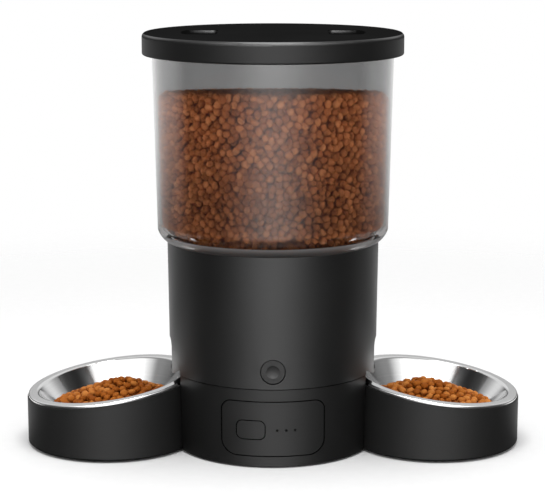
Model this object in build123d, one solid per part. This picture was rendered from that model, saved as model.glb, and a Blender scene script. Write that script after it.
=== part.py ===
from build123d import *
import math
import os

# Automatic pet feeder: a round hopper tower that feeds a steel bowl on each side.
# Millimetres, Z up, front towards -Y, origin on the floor under the middle of the tower.

# Heights of the stacked main pieces, from the floor up
foot_proud = 1.5            # rubber feet below the mouldings
base_height = 70.0          # floor to the seam
seam_gap = 0.8              # shadow line between base and upper housing
body_height = 115.2
hopper_height = 164.7       # top of the housing to the lower edge of the lid
lid_height = 19.3

# Radii: the housing drives the tower, the others step out from it
body_radius = 92.9          # upper housing at the seam
body_flare = 1.4            # wider at its top
base_step = 0.5             # base narrower than the housing at the seam
base_taper = 2.4            # narrower again at the floor
hopper_step = 8.4           # hopper shoulder stands out over the housing
hopper_flare = 3.8
lid_overhang = 8.5
wall = 2.6                  # black mouldings
hopper_wall = 2.4
hopper_rim = 5.0            # clear rim under the kibble, round the neck
lid_wall = 2.4
plate_sheet = 2.5           # closing plate under the base
register_height = 2.2       # ring on the base that centres the housing
slip = 0.3                  # clearance of parts that lift or slide apart
running = 0.05              # radial clearance of shafts in bearings
press = 0.02                # clearance of pieces pressed into each other
over = 1.0                  # cutters reach past the faces they cut

# Bowl stations
holder_radius = 76.3
holder_height = 53.1        # sloping top edge, at the middle of the bowl
holder_edge = 2.0           # rounded foot of the holder
bowl_tuck = 23.1            # reach of a station under the housing
bowl_tilt = 7.85            # degrees, inner side higher
bowl_lean = 1.6             # degrees, back higher
bowl_inset = 0.4            # steel rim inside the holder's outline
bowl_sheet = 0.9
bowl_depth = 34.0
bowl_floor_radius = 46.0
bowl_floor_bend = 14.0
bowl_rim_bend = 2.5
hem_height = 3.0
hem_width = 3.0
hem_edge = 0.8
hem_top_edge = 1.3
rim_flange = 8.8
bite_gap = 0.7              # station to the recess in the base
tongue_width = 28.0
tongue_height = 6.0
tongue_length = 11.0
tongue_low = 10.0
tongue_gap = 0.4

# Side mouths and chutes
mouth_width = 45.0
mouth_top = 98.5
mouth_corner = 8.0
chute_gap = 0.5             # chute to each side of its mouth
chute_top_gap = 0.2         # chute to the feed floor above it
chute_slope = 45.0          # degrees
chute_sheet = 2.4
chute_side_height = 20.5
lip_gap = 0.5               # lip above the top of the bowl's inner edge
lip_setback = 2.4           # lip line behind the housing's outline
ledge_flange = 5.0          # chute flange on the housing's sloping ceiling
flange_from = 5.0           # its ends, behind the lip
flange_to = 16.0
flange_sheet = 1.6

# Dosing drum and rotor
rotor_setback = 33.9        # housing's outline to the rotor's edge, room for the chutes
rotor_height = 20.0
hub_margin = 3.0            # rotor hub to the drop holes
rotor_sheet = 2.4
pocket_count = 6
drum_gap = 1.2
drum_wall = 2.4
drum_floor = 3.0
drop_length = 22.0          # drop holes, along the radius
drop_margin = 3.2           # drum wall to the drop hole
cover_sheet = 2.4
cover_lap = 3.2
window_half_angle = 33.0
shaft_radius = 4.0
shaft_flat = 3.2            # axis to the flat of the D section
bush_wall = 3.0
bush_flange = 1.0
bush_boss = 6.0             # boss round the bush, below the feed floor
rotor_float = 0.8           # rotor above the bush
cover_gap = 1.0             # cover to the rotor below and the stirrer above
neck_float = 0.5            # hopper neck to the funnel
funnel_flange = 2.5
stirrer_reach = 46.0
stirrer_arms = 3
stirrer_height = 8.0
stirrer_pin = 7.0           # upright pins on the arms
arm_radius = 2.2
hub_wall = 4.0              # plastic hubs round the shaft
nut_height = 6.0
nut_flutes = 8

# Gear train
gear_module = 1.0
pressure_angle = 20.0       # degrees
backlash = 0.2
output_teeth = 48
pinion_teeth = 16
idler_teeth = 40
gear_face = 5.0
large_gear_face = 4.0
gear_web_recess = 1.2
gear_gap = 2.0              # large idler gear to the output gear
gear_float = 1.5            # gears above the gearbox floor
idler_pin_radius = 2.0
motor_shaft_radius = 1.0
motor_radius = 12.0
motor_length = 26.0
motor_boss = 5.0
case_wall = 2.2
case_floor = 2.5
case_depth = 15.0           # inside height
case_standoff = 8.0         # funnel floor to the gearbox cover
case_room = 2.0             # output gear's tips to the line of the front bosses
case_step = 3.0             # rear bosses nearer to the middle
pinion_room = 0.5           # pinion's tips to the gearbox wall
boss_radius = 4.5
pilot_radius = 1.25
screw_radius = 1.2
screw_head_radius = 2.8
screw_head = 1.4
screw_length = 16.0
screw_play = 0.2            # clearance holes
head_play = 0.4
head_sink = 1.5             # counterbores under the base
housing_boss_length = 25.0
boss_setback = 4.0          # housing bosses from the wall
pillar_margin = 4.8         # base pillars from the wall
pillar_angle = 50.0         # degrees from the X axis

# Front controls
feed_button_height = 86.2
feed_button_radius = 10.6
feed_button_travel = 1.5
feed_dish_radius = 5.75
feed_dish_depth = 1.0
feed_board_depth = 15.0     # housing's outline to the switch board
button_lip = 1.5            # retaining flange round a button
button_lip_sheet = 1.4
button_stem_radius = 3.0
guide_wall = 2.0            # tube round the feed button
button_gap = 0.5
panel_width = 90.0
panel_bottom = 10.0
panel_top_margin = 10.0     # below the seam
panel_top_corner = 9.0
panel_bottom_corner = 14.0
panel_gap = 1.0
panel_seat = 0.2            # panel to the ledge behind it
panel_sheet = 2.4
panel_frame = 4.0           # rim in the base behind the panel's edge
panel_ledge = 2.5           # part of it that the panel lies on
panel_post_radius = 2.5
post_inset = 12.0           # panel posts from the panel's sides
board_inset = 7.0           # control board from the panel's sides
board_setback = 2.2         # panel's side edges to the control board
power_button_x = -19.2
power_button_width = 24.0
power_button_height = 16.0
power_button_corner = 5.0
power_button_travel = 1.2
power_gap = 0.9
control_height = 34.0       # power button and lights above the floor
light_radius = 1.1
light_sink = 0.9            # lenses below the panel's face
light_gap = 0.1
chip_height = 1.2
light_xs = (3.7, 11.5, 19.2)
board_sheet = 1.6
switch_size = 6.0
switch_height = 3.5
plunger_radius = 1.75
plunger_height = 0.8

# Power
cell_radius = 16.6
cell_length = 60.0
cell_nub_radius = 4.75
cell_nub = 1.5
cell_edge = 1.2
cell_count = 3
cell_spacing = 2.4
cell_gap = 0.2              # door to the cells
cell_head_gap = 1.5
cell_side_gap = 1.6
contact_room = 5.0          # cell ends to the box
contact_half = 6.0
box_wall = 2.0
door_lap = 1.5              # box walls over the door's edge
door_corner = 2.0
hook_half = 4.0
hook_sheet = 1.5
rib_count = 5
rib_pitch = 3.0
rib_half = 9.0
rib_depth = 0.6
contact_sheet = 0.5
inlet_height = 20.0
inlet_bore = 3.0
inlet_pin = 1.0
inlet_depth = 9.5
inlet_nose = 4.0

# Lid
lid_plate = 2.8
lid_edge = 4.0
lid_lower_edge = 1.5
dish_depth = 0.5
dish_border = 5.5
grip_half = 48.6            # finger recesses start this far from the axis
recess_margin = 19.0        # finger recesses to the plug inside the lid
recess_half_width = 27.0
recess_corner = 5.0
recess_depth = 9.0
recess_draft = 6.0          # degrees
rim_rise = 9.3              # hopper rim above the lid's lower edge
rim_flange_width = 4.5
rim_sheet = 4.0
plug_gap = 1.5
plug_depth = 15.0
seal_height = 4.0

# Feet
foot_radius = 7.0
foot_pocket = 1.2
foot_edge = 0.6
foot_margin = 2.1           # feet from the base's edge
foot_angle = 67.4           # degrees from the X axis
holder_foot_margin = 14.0

# Joint between housing, funnel and hopper
neck_depth = 11.0
ledge_width = 3.0
ledge_height = 3.0

# Levels and radii that follow from the sizes above
body_bottom = base_height + seam_gap
body_top = body_bottom + body_height
lid_bottom = body_top + hopper_height
lid_top = lid_bottom + lid_height
base_top_radius = body_radius - base_step
base_foot_radius = base_top_radius - base_taper
body_top_radius = body_radius + body_flare
hopper_low_radius = body_top_radius + hopper_step
hopper_top_radius = hopper_low_radius + hopper_flare
lid_radius = hopper_top_radius + lid_overhang
deck_bottom = base_height - wall
plate_top = foot_proud + plate_sheet
station_x = body_radius + holder_radius - bowl_tuck
bite_radius = holder_radius + bite_gap
tilt = math.radians(bowl_tilt)
bowl_radius = holder_radius - bowl_inset
rim_inner_top = holder_height + bowl_radius * math.sin(tilt) + hem_height * math.cos(tilt)
lip_low = rim_inner_top + lip_gap
lip_x = body_radius - lip_setback
slope_rise = math.tan(math.radians(chute_slope))
slope_cos = math.cos(math.radians(chute_slope))
chute_half = mouth_width / 2 - chute_gap
drop_half = chute_half - chute_sheet
rotor_radius = body_radius - rotor_setback
drum_radius = rotor_radius + drum_gap
drop_outer = drum_radius - drop_margin
drop_inner = drop_outer - drop_length
rotor_hub_radius = drop_inner - hub_margin
chute_rise = chute_sheet / slope_cos
drum_under = lip_low + chute_rise + (lip_x - drop_inner) * slope_rise + chute_top_gap
drum_top = drum_under + drum_floor
rotor_low = drum_top + bush_flange + rotor_float
cover_low = rotor_low + rotor_height + cover_gap
cover_top = cover_low + cover_sheet
cover_radius = drum_radius + cover_lap
neck_radius = body_top_radius - wall - slip
neck_bottom = body_top - neck_depth
flange_top = neck_bottom - neck_float
flange_low = flange_top - funnel_flange
stirrer_low = cover_top + cover_gap
stirrer_top = stirrer_low + stirrer_height
case_top = drum_under - case_standoff
case_ceiling = case_top - case_floor
case_inside = case_ceiling - case_depth
case_bottom = case_inside - case_floor
shaft_low = case_bottom + case_floor / 4
shaft_high = stirrer_top + nut_height * 2 / 3
idler_y = gear_module * (output_teeth + pinion_teeth) / 2
motor_y = idler_y + gear_module * (idler_teeth + pinion_teeth) / 2
idler_low = case_inside + gear_float
large_gear_top = idler_low + large_gear_face
output_low = large_gear_top + gear_gap
output_top = output_low + gear_face
output_tip = gear_module * (output_teeth / 2 + 1)
pinion_tip = gear_module * (pinion_teeth / 2 + 1)
case_half = output_tip + case_room
case_front = case_half - case_step
case_corners = [(case_half, -case_front), (case_front, motor_y - motor_radius),
                (motor_radius, motor_y + pinion_tip + pinion_room - boss_radius)]
case_screws = [(side * x, y) for x, y in case_corners[:2] for side in (-1, 1)]
panel_top = base_height - panel_top_margin
rim_top = lid_bottom + rim_rise
lid_roof = lid_top - lid_plate
plug_radius = hopper_top_radius - hopper_wall - plug_gap
recess_reach = plug_radius - lid_wall - recess_margin
cell_pitch = 2 * cell_radius + cell_spacing
box_half_x = cell_length / 2 + contact_room
box_half_y = cell_pitch * cell_count / 2 + cell_side_gap
cell_z = plate_top + cell_radius + cell_gap
box_ceiling = cell_z + cell_radius + cell_head_gap
door_half_x = box_half_x - door_lap
door_half_y = box_half_y - door_lap
door_screw_y = door_half_y - slip - screw_head_radius - head_play
board_front = board_setback - math.sqrt((base_foot_radius - panel_sheet) ** 2 - (panel_width / 2) ** 2)
feed_board_front = feed_board_depth - body_radius
button_guide = feed_button_radius + button_lip + 2 * button_gap
screw_seat = foot_proud + head_sink
far = 400.0                 # long enough to cut right through
seam_angle = 45.0           # surfaces of revolution start here, away from mouths and buttons


# Building blocks
def around(radius, angles, x=0.0):
    # places on a circle
    turns = [math.radians(angle) for angle in angles]
    return [(x + radius * math.cos(turn), radius * math.sin(turn)) for turn in turns]


def four_ways(angle):
    return (angle, 180 - angle, 180 + angle, 360 - angle)


housing_bosses = around(body_radius - wall - boss_setback, four_ways(60))
base_pillars = around(base_foot_radius - wall - boss_radius - pillar_margin, four_ways(pillar_angle))
base_foot_places = around(base_foot_radius - wall - slip - foot_radius - foot_margin, four_ways(foot_angle))
holder_foot_places = around(holder_radius - holder_foot_margin, (60, 180, 300), -station_x)


def turned(points, radii=None):
    # solid of revolution about Z, from (radius, height) points
    if radii is None:
        outline = Polyline(*points, close=True)
    else:
        outline = FilletPolyline(*points, radius=radii, close=True)
    return Rot(0, 0, seam_angle) * revolve(Plane.XZ * make_face(outline), Axis.Z)


def rod(radius, low, high, x=0.0, y=0.0):
    return Pos(x, y, (low + high) / 2) * Cylinder(radius, high - low)


def ring(outer, inner, low, high):
    return rod(outer, low, high) - rod(inner, low - over, high + over)


def rod_y(radius, y_front, y_back, x, z):
    return Pos(x, (y_front + y_back) / 2, z) * Rot(90, 0, 0) * Cylinder(radius, y_back - y_front)


def block(x_low, x_high, y_low, y_high, z_low, z_high):
    middle = Pos((x_low + x_high) / 2, (y_low + y_high) / 2, (z_low + z_high) / 2)
    return middle * Box(x_high - x_low, y_high - y_low, z_high - z_low)


def front_prism(face, y_front, y_back):
    # outline drawn in X and Z, carried along Y
    return extrude(Plane.XZ.offset(-y_back) * face, y_back - y_front)


def side_prism(points, y_low, y_high):
    # polygon in X and Z, carried along Y
    return front_prism(make_face(Polyline(*points, close=True)), y_low, y_high)


def plate(face, low, high):
    return extrude(Pos(0, 0, low) * face, high - low)


def base_radius_at(z):
    return base_top_radius - base_taper * (base_height - z) / (base_height - foot_proud)


def body_radius_at(z):
    return body_radius + body_flare * (z - body_bottom) / body_height


def base_core(inset, low=foot_proud, high=base_height):
    low_edge = base_radius_at(low) - inset
    high_edge = base_radius_at(high) - inset
    return turned([(0, low), (low_edge, low), (high_edge, high), (0, high)])


def body_core(inset, low, high):
    low_edge = body_radius_at(low) - inset
    high_edge = body_radius_at(high) - inset
    return turned([(0, low), (low_edge, low), (high_edge, high), (0, high)])


def bite(side, grow=0.0):
    # upright round space of a bowl station
    return rod(bite_radius + grow, -over, far, x=side * station_x)


def under_slope(side, lift=0.0):
    # space below the sloping underside over a bowl
    reach = lip_low / slope_rise
    low_x = side * (lip_x + reach)
    high_x = side * (lip_x - reach)
    points = [(low_x, lip_low + lift - reach * slope_rise), (low_x, -far),
              (high_x, -far), (high_x, lip_low + lift + reach * slope_rise)]
    return side_prism(points, -bite_radius, bite_radius)


def niche(side, grow=0.0):
    # recess over a bowl: upright back, sloping ceiling
    return bite(side, grow) & under_slope(side, grow / slope_cos)


def d_bore(low, high):
    round_part = rod(shaft_radius + running, low, high)
    cut = shaft_flat + running
    return round_part - block(cut, far, -far, far, low - over, high + over)


def pan_screw(x, y, seat, tip, up=True):
    # head below its seat when it points up
    sign = 1 if up else -1
    head_end = seat - sign * screw_head
    head = rod(screw_head_radius, min(seat, head_end), max(seat, head_end), x, y)
    shank = rod(screw_radius, min(seat, tip), max(seat, tip), x, y)
    return head + shank


def switch_on_board(x, z, front):
    half = switch_size / 2
    case = block(x - half, x + half, front - switch_height, front, z - half, z + half)
    tip = front - switch_height - plunger_height
    return case + rod_y(plunger_radius, tip, front - switch_height, x, z)


# Lid and hopper
def recess_face():
    strip = Pos(grip_half + recess_reach / 2, 0) * Rectangle(recess_reach, 2 * recess_half_width)
    area = strip & Circle(recess_reach)
    return fillet(area.vertices(), recess_corner)


def make_lid():
    floor = lid_top - dish_depth
    border = lid_radius - dish_border
    cap = turned([(0, lid_bottom), (lid_radius, lid_bottom), (lid_radius, lid_top), (border, lid_top),
                  (border - dish_depth, floor), (0, floor)], [0, lid_lower_edge, lid_edge, 0, 0, 0])
    bury = lid_plate / 4
    cap -= rod(lid_radius - lid_wall, lid_bottom - over, lid_roof)
    cap += ring(plug_radius, plug_radius - lid_wall, lid_roof - plug_depth, lid_roof + bury)
    cap += ring(hopper_top_radius + lid_wall, hopper_top_radius, rim_top, lid_roof + bury)
    pocket_floor = floor - recess_depth
    for turn in (0, 180):
        face = Rot(0, 0, turn) * recess_face()
        cap += plate(offset(face, lid_wall), pocket_floor - lid_wall, lid_roof + bury)
    for turn in (0, 180):
        face = Pos(0, 0, floor) * Rot(0, 0, turn) * recess_face()
        cap -= extrude(face, -recess_depth, taper=recess_draft)
    return cap


def make_lid_seal():
    inner = plug_radius + press
    low = lid_roof - plug_depth + seal_height / 2
    high = low + seal_height
    bead = plug_gap - slip
    return turned([(inner, low), (inner + bead / 2, low), (inner + bead, (low + high) / 2),
                   (inner + bead / 2, high), (inner, high)])


def make_hopper():
    neck_inner = neck_radius - hopper_wall
    shoulder = body_top + hopper_step * 1.26
    flange = hopper_top_radius + rim_flange_width
    outer_bulge = (body_top_radius + hopper_step * 0.64, body_top + hopper_step * 0.51)
    inner_low = hopper_low_radius - hopper_wall
    inner_top = hopper_top_radius - hopper_wall
    inner_bulge = (neck_inner + (inner_low - neck_inner) * 0.6, body_top + hopper_rim + hopper_step * 0.52)
    outline = Curve() + [
        Polyline((neck_inner, neck_bottom), (neck_radius, neck_bottom), (neck_radius, body_top),
                 (body_top_radius, body_top)),
        ThreePointArc((body_top_radius, body_top), outer_bulge, (hopper_low_radius, shoulder)),
        Polyline((hopper_low_radius, shoulder), (hopper_top_radius, lid_bottom),
                 (hopper_top_radius, rim_top - rim_sheet), (flange, rim_top - rim_sheet), (flange, rim_top),
                 (inner_top, rim_top), (inner_top, lid_bottom), (inner_low, shoulder + hopper_rim)),
        ThreePointArc((inner_low, shoulder + hopper_rim), inner_bulge, (neck_inner, body_top + hopper_rim)),
        Line((neck_inner, body_top + hopper_rim), (neck_inner, neck_bottom)),
    ]
    return revolve(Plane.XZ * make_face(outline.edges()), Axis.Z)


# Upper housing with its two mouths
def mouth(side):
    # opening in the side wall, down to the sloping underside
    half = mouth_width / 2
    points = [(-half, 0), (half, 0), (half, mouth_top), (-half, mouth_top)]
    face = make_face(FilletPolyline(*points, radius=[0, 0, mouth_corner, mouth_corner], close=True))
    cut = extrude(Plane.YZ.offset(drop_inner) * face, body_radius)
    return (cut if side > 0 else mirror(cut, about=Plane.YZ)) - under_slope(side)


def make_upper_housing():
    shell = body_core(0.0, lip_low, body_top)
    below_seam = rod(far, lip_low - over, body_bottom)
    for side in (-1, 1):
        below_seam -= bite(side)
    shell -= below_seam
    hollow = body_core(wall, lip_low - over, body_top + over)
    for side in (-1, 1):
        shell -= niche(side)
        hollow -= niche(side, wall)
    shell -= hollow
    inner = body_radius_at(flange_low) - wall
    shell += ring(inner + wall / 2, inner - ledge_width, flange_low - ledge_height, flange_low)
    bosses = Part()
    for x, y in housing_bosses:
        bosses += rod(boss_radius, base_height, base_height + housing_boss_length, x, y)
    shell += bosses & body_core(wall / 2, base_height, body_top)
    for x, y in housing_bosses:
        shell -= rod(pilot_radius, base_height - over, base_height + screw_length + over, x, y)
    front = -body_radius_at(feed_button_height)
    tube = rod_y(button_guide + guide_wall, front, feed_board_front, 0, feed_button_height)
    shell += tube & body_core(wall / 2, body_bottom, body_top)
    shell -= rod_y(button_guide, front + wall, feed_board_front + over, 0, feed_button_height)
    shell -= rod_y(feed_button_radius + button_gap, -far, feed_board_front, 0, feed_button_height)
    for side in (-1, 1):
        shell -= mouth(side)
    return shell


# Feed floor, chutes and dosing parts
def make_feed_funnel():
    drum_out = drum_radius + drum_wall
    seat_in = cover_radius + slip
    seat_out = seat_in + drum_wall
    cone_in = neck_radius - hopper_wall - funnel_flange
    outer = body_radius_at(flange_low) - wall - slip
    funnel = turned([(0, drum_under), (drum_out, drum_under), (drum_out, cover_low - drum_wall),
                     (seat_out, cover_low), (seat_out, cover_top - cover_sheet / 2),
                     (cone_in + over, flange_low),
                     (outer, flange_low), (outer, flange_top), (cone_in, flange_top), (seat_in, cover_top),
                     (seat_in, cover_low), (drum_radius, cover_low), (drum_radius, drum_top), (0, drum_top)])
    bush = shaft_radius + bush_wall
    funnel += rod(bush + bush_wall, drum_under - bush_boss, drum_top)
    funnel -= rod(bush, drum_under - bush_boss - over, drum_top + over)
    drop = ring(drop_outer, drop_inner, drum_under - over, drum_top + over)
    funnel -= drop & block(-far, far, -drop_half, drop_half, 0, far)
    for x, y in case_screws:
        funnel += rod(boss_radius, case_top, drum_under + drum_floor / 4, x, y)
    for x, y in case_screws:
        funnel -= rod(pilot_radius, case_top - over, drum_under + drum_floor / 3, x, y)
    return funnel


def slope_point(back, lift):
    # point behind the lip, above the sloping underside
    return (lip_x - back, lip_low + back * slope_rise + lift)


def make_chute(side):
    # open channel on a steep slope, from a drop hole to a mouth
    top = drum_under - chute_top_gap
    back = (top - lip_low) / slope_rise
    fore = -lip_setback - over
    channel = [slope_point(fore, 0), slope_point(fore, chute_side_height),
               slope_point(back, chute_side_height), slope_point(back, 0)]
    inside = [slope_point(fore, chute_rise), slope_point(fore, far), slope_point(back, far),
              slope_point(back, chute_rise)]
    chute = side_prism(channel, -chute_half, chute_half) - side_prism(inside, -drop_half, drop_half)
    ceiling = wall / slope_cos
    flange = ceiling + flange_sheet / slope_cos
    band = [slope_point(flange_from, ceiling), slope_point(flange_from, flange),
            slope_point(flange_to, flange), slope_point(flange_to, ceiling)]
    wide = chute_half + ledge_flange
    flanges = side_prism(band, -wide, wide) - side_prism(band, -drop_half, drop_half)
    chute += flanges & rod(body_radius - wall - slip, 0, far)
    chute &= block(0, far, -far, far, lip_low, top)
    chute &= rod(body_radius - lip_setback / 4, 0, far)
    return chute if side > 0 else mirror(chute, about=Plane.YZ)


def make_portion_cover():
    # disc with two filling windows, closed over the drop holes
    disc = rod(cover_radius, cover_low, cover_top) - rod(shaft_radius + drum_gap, 0, far)
    spread = far * math.tan(math.radians(window_half_angle))
    wedges = make_face(Polyline((0, 0), (spread, far), (-spread, far), close=True))
    wedges = wedges + Rot(0, 0, 180) * wedges
    opening = (Circle(rotor_radius) - Circle(rotor_hub_radius + cover_sheet)) & wedges
    return disc - plate(opening, cover_low - over, cover_top + over)


def make_portion_rotor():
    # hollow hub with a vane between each two pockets
    top = rotor_low + rotor_height
    half = rotor_sheet / 2
    inside = rotor_hub_radius - rotor_sheet
    collar = shaft_radius + hub_wall
    rotor = rod(rotor_hub_radius, rotor_low, top)
    rotor -= rod(inside, rotor_low - over, top - rotor_sheet)
    rotor += rod(collar, rotor_low, top)
    for turn in range(pocket_count):
        place = Rot(0, 0, (turn + 0.5) * 360 / pocket_count)
        rotor += place * block(inside + half, rotor_radius, -half, half, rotor_low, top)
        rib_low = rotor_low + rotor_height / 3
        rotor += place * block(collar - half, inside + half, -half, half, rib_low, top - half)
    return rotor - d_bore(rotor_low - over, top + over)


def make_rotor_shaft():
    shaft = rod(shaft_radius, shaft_low, shaft_high)
    for low, high in ((output_low - hub_wall, output_top + over), (rotor_low - rotor_float / 2, shaft_high)):
        shaft -= block(shaft_flat, far, -far, far, low, high)
    return shaft


def make_rotor_bush():
    outer = shaft_radius + bush_wall - press
    high = drum_top + bush_flange
    bush = rod(outer, drum_under - bush_boss, high) + rod(outer + bush_wall, drum_top, high)
    return bush - rod(shaft_radius + running, 0, far)


def make_stirrer():
    hub = rod(shaft_radius + hub_wall, stirrer_low, stirrer_top)
    middle = stirrer_low + stirrer_height - 1.3 * arm_radius
    pin_x = stirrer_reach * 0.72
    pin_top = middle + stirrer_pin
    arm = Pos(stirrer_reach / 2, 0, middle) * Rot(0, 90, 0) * Cylinder(arm_radius, stirrer_reach)
    arm += Pos(stirrer_reach, 0, middle) * Sphere(arm_radius)
    arm += rod(arm_radius, middle, pin_top, pin_x)
    arm += Pos(pin_x, 0, pin_top) * Sphere(arm_radius)
    for turn in range(stirrer_arms):
        hub += Rot(0, 0, 90 + turn * 360 / stirrer_arms) * arm
    return hub - d_bore(stirrer_low - over, stirrer_top + over)


def make_stirrer_nut():
    # fluted hand nut
    wide = shaft_radius + 1.5 * hub_wall
    high = stirrer_top + nut_height
    nut = turned([(0, stirrer_top), (wide, stirrer_top), (wide, stirrer_top + nut_height / 2),
                  (shaft_radius, high), (0, high)])
    flute = rod(hub_wall * 0.4, stirrer_top - over, high + over, wide + over)
    for turn in range(nut_flutes):
        nut -= Rot(0, 0, turn * 360 / nut_flutes) * flute
    return nut - d_bore(stirrer_top - over, shaft_high + slip)


# Gears
def involute(angle):
    return math.tan(angle) - angle


def gear_face_outline(teeth, turn):
    # full involute outline with one tooth centred on the angle "turn"
    pitch_r = gear_module * teeth / 2
    base_r = pitch_r * math.cos(math.radians(pressure_angle))
    tip_r = pitch_r + gear_module
    root_r = pitch_r - 1.25 * gear_module
    start_r = max(base_r, root_r)
    half = math.pi / 2 / teeth - backlash / 2 / pitch_r + involute(math.radians(pressure_angle))
    step = 2 * math.pi / teeth

    def flank(radius, centre, hand):
        angle = centre + hand * (half - involute(math.acos(min(1.0, base_r / radius))))
        return (radius * math.cos(angle), radius * math.sin(angle))

    def polar(radius, angle):
        return (radius * math.cos(angle), radius * math.sin(angle))

    mid_r = (start_r + tip_r) / 2
    edges = []
    for tooth in range(teeth):
        centre = math.radians(turn) + tooth * step
        start_angle = half - involute(math.acos(min(1.0, base_r / start_r)))
        rise = [flank(r, centre, -1) for r in (start_r, mid_r, tip_r)]
        fall = [flank(r, centre, 1) for r in (tip_r, mid_r, start_r)]
        root_end = polar(root_r, centre + start_angle)
        root_next = polar(root_r, centre + step - start_angle)
        if start_r > root_r:
            edges.append(Line(polar(root_r, centre - start_angle), rise[0]))
        edges.append(ThreePointArc(*rise))
        edges.append(Line(rise[2], fall[0]))
        edges.append(ThreePointArc(*fall))
        if start_r > root_r:
            edges.append(Line(fall[2], root_end))
        edges.append(Line(root_end, root_next))
    return make_face(Curve() + edges)


def spur_gear(teeth, turn, low, high):
    return plate(gear_face_outline(teeth, turn), low, high)


facing = 90.0                                # each gear meets the next along +Y
half_pitch = 180.0 / pinion_teeth


def make_output_gear():
    gear = spur_gear(output_teeth, facing, output_low, output_top)
    rim_in = gear_module * (output_teeth / 2 - 4)
    hub = shaft_radius + hub_wall
    for low in (output_low - gear_web_recess, output_top - gear_web_recess):
        gear -= ring(rim_in, hub, low, low + 2 * gear_web_recess)
    gear += rod(hub, output_low - hub_wall + slip, output_top + slip)
    return gear - d_bore(0, far)


def make_idler_gear():
    large = spur_gear(idler_teeth, facing, idler_low, large_gear_top)
    small = spur_gear(pinion_teeth, facing + 180 + half_pitch, large_gear_top, output_top + slip)
    collar = rod(2 * idler_pin_radius, case_inside + slip, idler_low)
    gear = large + small + collar - rod(idler_pin_radius + running, 0, far)
    return Pos(0, idler_y, 0) * gear


def make_idler_pin():
    return rod(idler_pin_radius, case_bottom, case_ceiling - slip, 0, idler_y)


def make_motor_pinion():
    gear = spur_gear(pinion_teeth, facing + 180 + half_pitch, idler_low - slip, large_gear_top + slip)
    return Pos(0, motor_y, 0) * (gear - rod(motor_shaft_radius + press, 0, far))


def make_motor_shaft():
    return rod(motor_shaft_radius, case_bottom - motor_length / 3, large_gear_top + over, 0, motor_y)


def make_motor():
    # sealed can with a round boss at each end and two solder tabs
    low = case_bottom - motor_length
    high = case_bottom
    edge = motor_boss * 0.3
    inset = motor_radius - edge
    end_boss = motor_boss * 0.7
    can = turned([(0, low - edge), (end_boss, low - edge), (end_boss, low), (inset, low),
                  (motor_radius, low + edge), (motor_radius, high - edge), (inset, high), (motor_boss, high),
                  (motor_boss, high + edge), (0, high + edge)])
    for side in (-1, 1):
        x = side * motor_radius * 0.6
        can += block(x - edge, x + edge, -contact_sheet, contact_sheet, low - 2 * edge, low + edge)
    can -= rod(motor_shaft_radius + running, case_bottom - motor_length / 3 - slip, far)
    return Pos(0, motor_y, 0) * can


def case_face():
    corner = boss_radius + case_wall
    rounds = Sketch() + [Pos(side * x, y) * Circle(corner) for x, y in case_corners for side in (-1, 1)]
    return make_hull(rounds.edges())


def make_gearbox_housing():
    outline = case_face()
    case = plate(outline, case_bottom, case_ceiling)
    case -= plate(offset(outline, -case_wall), case_inside, case_ceiling + over)
    for x, y in case_screws:
        case += rod(boss_radius + case_wall / 2, case_bottom, case_ceiling, x, y)
    for x, y in case_screws:
        case -= rod(screw_radius + screw_play, 0, far, x, y)
    case += rod(shaft_radius + hub_wall, case_bottom, output_low - hub_wall)
    case -= rod(shaft_radius + running, shaft_low - running, far)
    case -= rod(idler_pin_radius + press, 0, far, 0, idler_y)
    case -= rod(motor_boss + slip, 0, far, 0, motor_y)
    return case


def make_gearbox_cover():
    cover = plate(case_face(), case_ceiling, case_top) - rod(shaft_radius + over, 0, far)
    for x, y in case_screws:
        cover -= rod(screw_radius + screw_play, 0, far, x, y)
    return cover


def make_gearbox_screws():
    tip = drum_under - over
    return Part() + [pan_screw(x, y, case_bottom, tip) for x, y in case_screws]


# Base, panel and power
def panel_face(grow):
    half = panel_width / 2 + grow
    low = panel_bottom - grow
    high = panel_top + grow
    corners = [panel_bottom_corner + grow] * 2 + [panel_top_corner + grow] * 2
    points = [(-half, low), (half, low), (half, high), (-half, high)]
    return make_face(FilletPolyline(*points, radius=corners, close=True))


def power_button_face(grow):
    width = power_button_width + 2 * grow
    height = power_button_height + 2 * grow
    return Pos(power_button_x, control_height) * RectangleRounded(width, height, power_button_corner + grow)


def make_base_housing():
    shell = base_core(0.0)
    hollow = base_core(wall, foot_proud - over, deck_bottom)
    for side in (-1, 1):
        shell -= bite(side)
        hollow -= bite(side, wall)
    shell -= hollow
    inner = body_radius_at(body_bottom) - wall - slip
    register = ring(inner, inner - wall, base_height - over, base_height + register_height)
    for side in (-1, 1):
        register -= bite(side, wall + slip)
    for x, y in housing_bosses:
        register -= rod(boss_radius + slip, 0, far, x, y)
    register -= rod_y(button_guide + guide_wall + slip, -far, 0, 0, feed_button_height)
    shell += register
    for x, y in base_pillars:
        shell += rod(boss_radius, plate_top, deck_bottom + wall / 2, x, y)
    for x, y in base_pillars:
        shell -= rod(pilot_radius, plate_top - over, plate_top + screw_length + over, x, y)
    for x, y in housing_bosses:
        shell -= rod(screw_radius + screw_play, deck_bottom - over, far, x, y)
    shell -= rod(motor_radius + wall, deck_bottom - over, base_height + over, 0, motor_y)
    rim = base_core(wall / 2) - base_core(panel_sheet + panel_seat + wall)
    shell += front_prism(panel_face(panel_frame), -far, board_front) & rim
    shell -= front_prism(panel_face(-panel_ledge), -far, board_front)
    shell -= front_prism(panel_face(0.0), -far, board_front) - base_core(panel_sheet + panel_seat, -far, far)
    slot = tongue_width / 2 + tongue_gap
    slots = block(-far, far, -slot, slot, tongue_low - tongue_gap, tongue_low + tongue_height + tongue_gap)
    shell -= slots - block(-box_half_x, box_half_x, -far, far, 0, far)
    shell -= rod_y(inlet_nose + screw_play, 0, far, 0, inlet_height)
    return shell


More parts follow.
